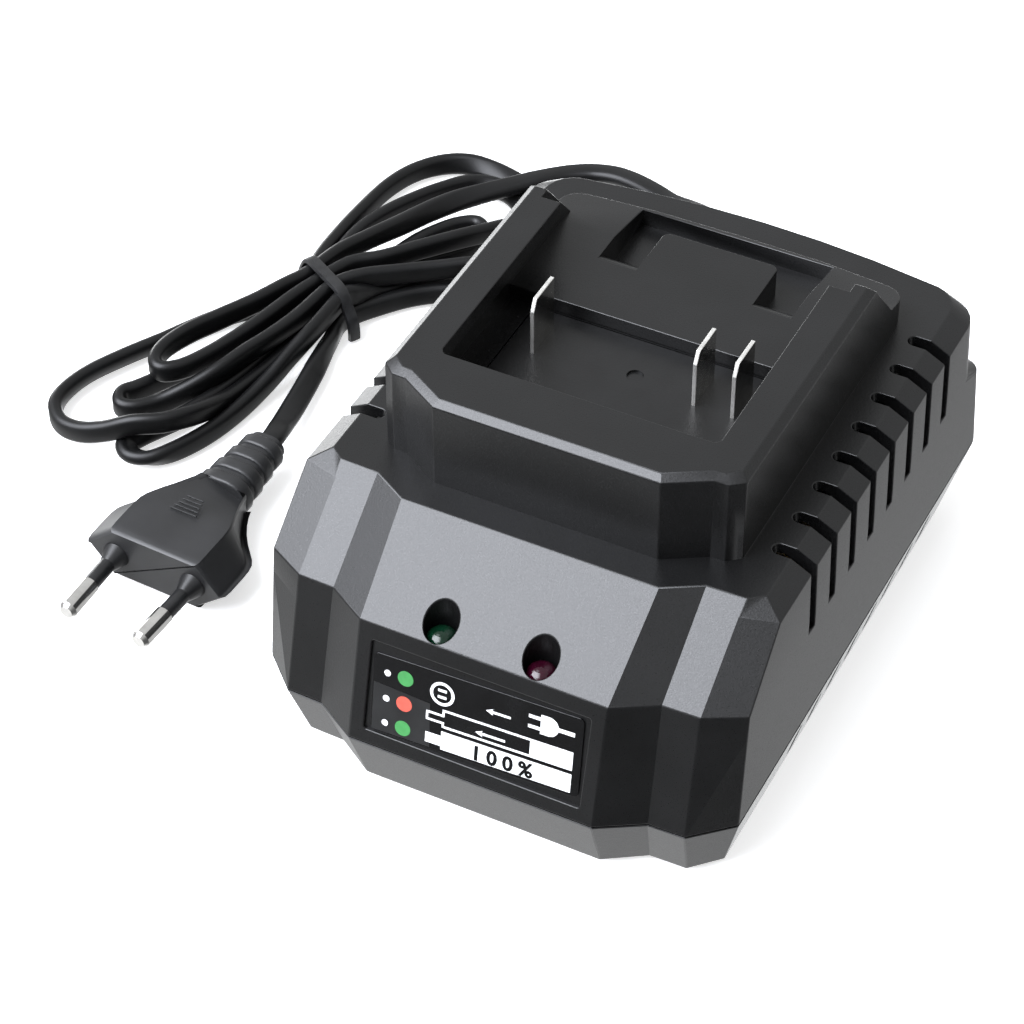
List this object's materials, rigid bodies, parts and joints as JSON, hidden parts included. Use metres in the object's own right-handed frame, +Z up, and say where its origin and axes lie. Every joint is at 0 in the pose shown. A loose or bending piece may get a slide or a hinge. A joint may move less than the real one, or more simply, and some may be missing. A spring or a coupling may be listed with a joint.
{
  "type": "power tool battery charger",
  "caption": "Desktop charger for slide-on tool batteries: faceted two-shell body, raised dock with rails and blade terminals, indicators, label and tied mains lead with flat plug.",
  "frame": {"origin": "middle of the charger body's base, on the surface that its rubber feet stand on", "axes": "+Z up, -Y towards the sloped front panel with the label and indicators, +X to the right seen from the front; the mains lead leaves the rear, +Y, and lies to the left"},
  "size_m": [0.1908, 0.1965, 0.077],
  "materials": {
    "shell_plastic": "fine spark-eroded texture, near black",
    "terminal_block": "fine moulded texture",
    "blade_nickel": "bright nickel plate",
    "label_film": "satin printed film with plain pictograms",
    "green_lens": "diffusing green epoxy",
    "red_lens": "diffusing red epoxy",
    "circuit_board": "solder mask",
    "ferrite": "sintered ferrite",
    "winding_tape": "polyester tape over copper",
    "capacitor_sleeve": "printed shrink sleeve",
    "copper_winding": "enamelled copper wire",
    "fuse_metal": "nickel plated caps and clips",
    "component_black": "moulded epoxy and plastic",
    "heat_sink_metal": "extruded aluminium",
    "connector_plastic": "natural nylon",
    "wire_brown": "PVC insulation",
    "wire_red": "PVC insulation",
    "screw_steel": "zinc plated",
    "foot_rubber": "soft rubber",
    "cord_pvc": "satin PVC sheath",
    "tie_plastic": "PVC coated wire",
    "plug_pvc": "moulded PVC",
    "sleeve_plastic": "insulating sleeve",
    "pin_metal": "nickel plated brass"
  },
  "bodies": {
    "root": {"lower_shell": "shell_plastic", "upper_shell": "shell_plastic", "terminal_plate": "terminal_block", "terminal_positive": "blade_nickel", "terminal_signal": "blade_nickel", "terminal_negative": "blade_nickel", "status_label": "label_film", "green_led": "green_lens", "red_led": "red_lens", "indicator_board": "circuit_board", "main_board": "circuit_board", "transformer_core": "ferrite", "transformer_winding": "winding_tape", "bulk_capacitor": "capacitor_sleeve", "output_capacitors": "capacitor_sleeve", "filter_choke": "copper_winding", "mains_fuse": "fuse_metal", "control_chip": "component_black", "switch_heat_sink": "heat_sink_metal", "switching_transistor": "component_black", "output_heat_sink": "heat_sink_metal", "output_rectifier": "component_black", "wire_connector": "connector_plastic", "mains_wires": "wire_brown", "blade_wires": "wire_red", "board_screws": "screw_steel", "housing_screws": "screw_steel", "rubber_feet": "foot_rubber", "cord_clamp": "component_black", "clamp_screws": "screw_steel", "strain_relief": "cord_pvc", "cord_lead": "cord_pvc", "cord_hank": "cord_pvc", "cord_tie": "tie_plastic", "cord_tail": "cord_pvc", "plug_body": "plug_pvc", "plug_pin_sleeves": "sleeve_plastic", "plug_pins": "pin_metal"}
  },
  "joints": []
}
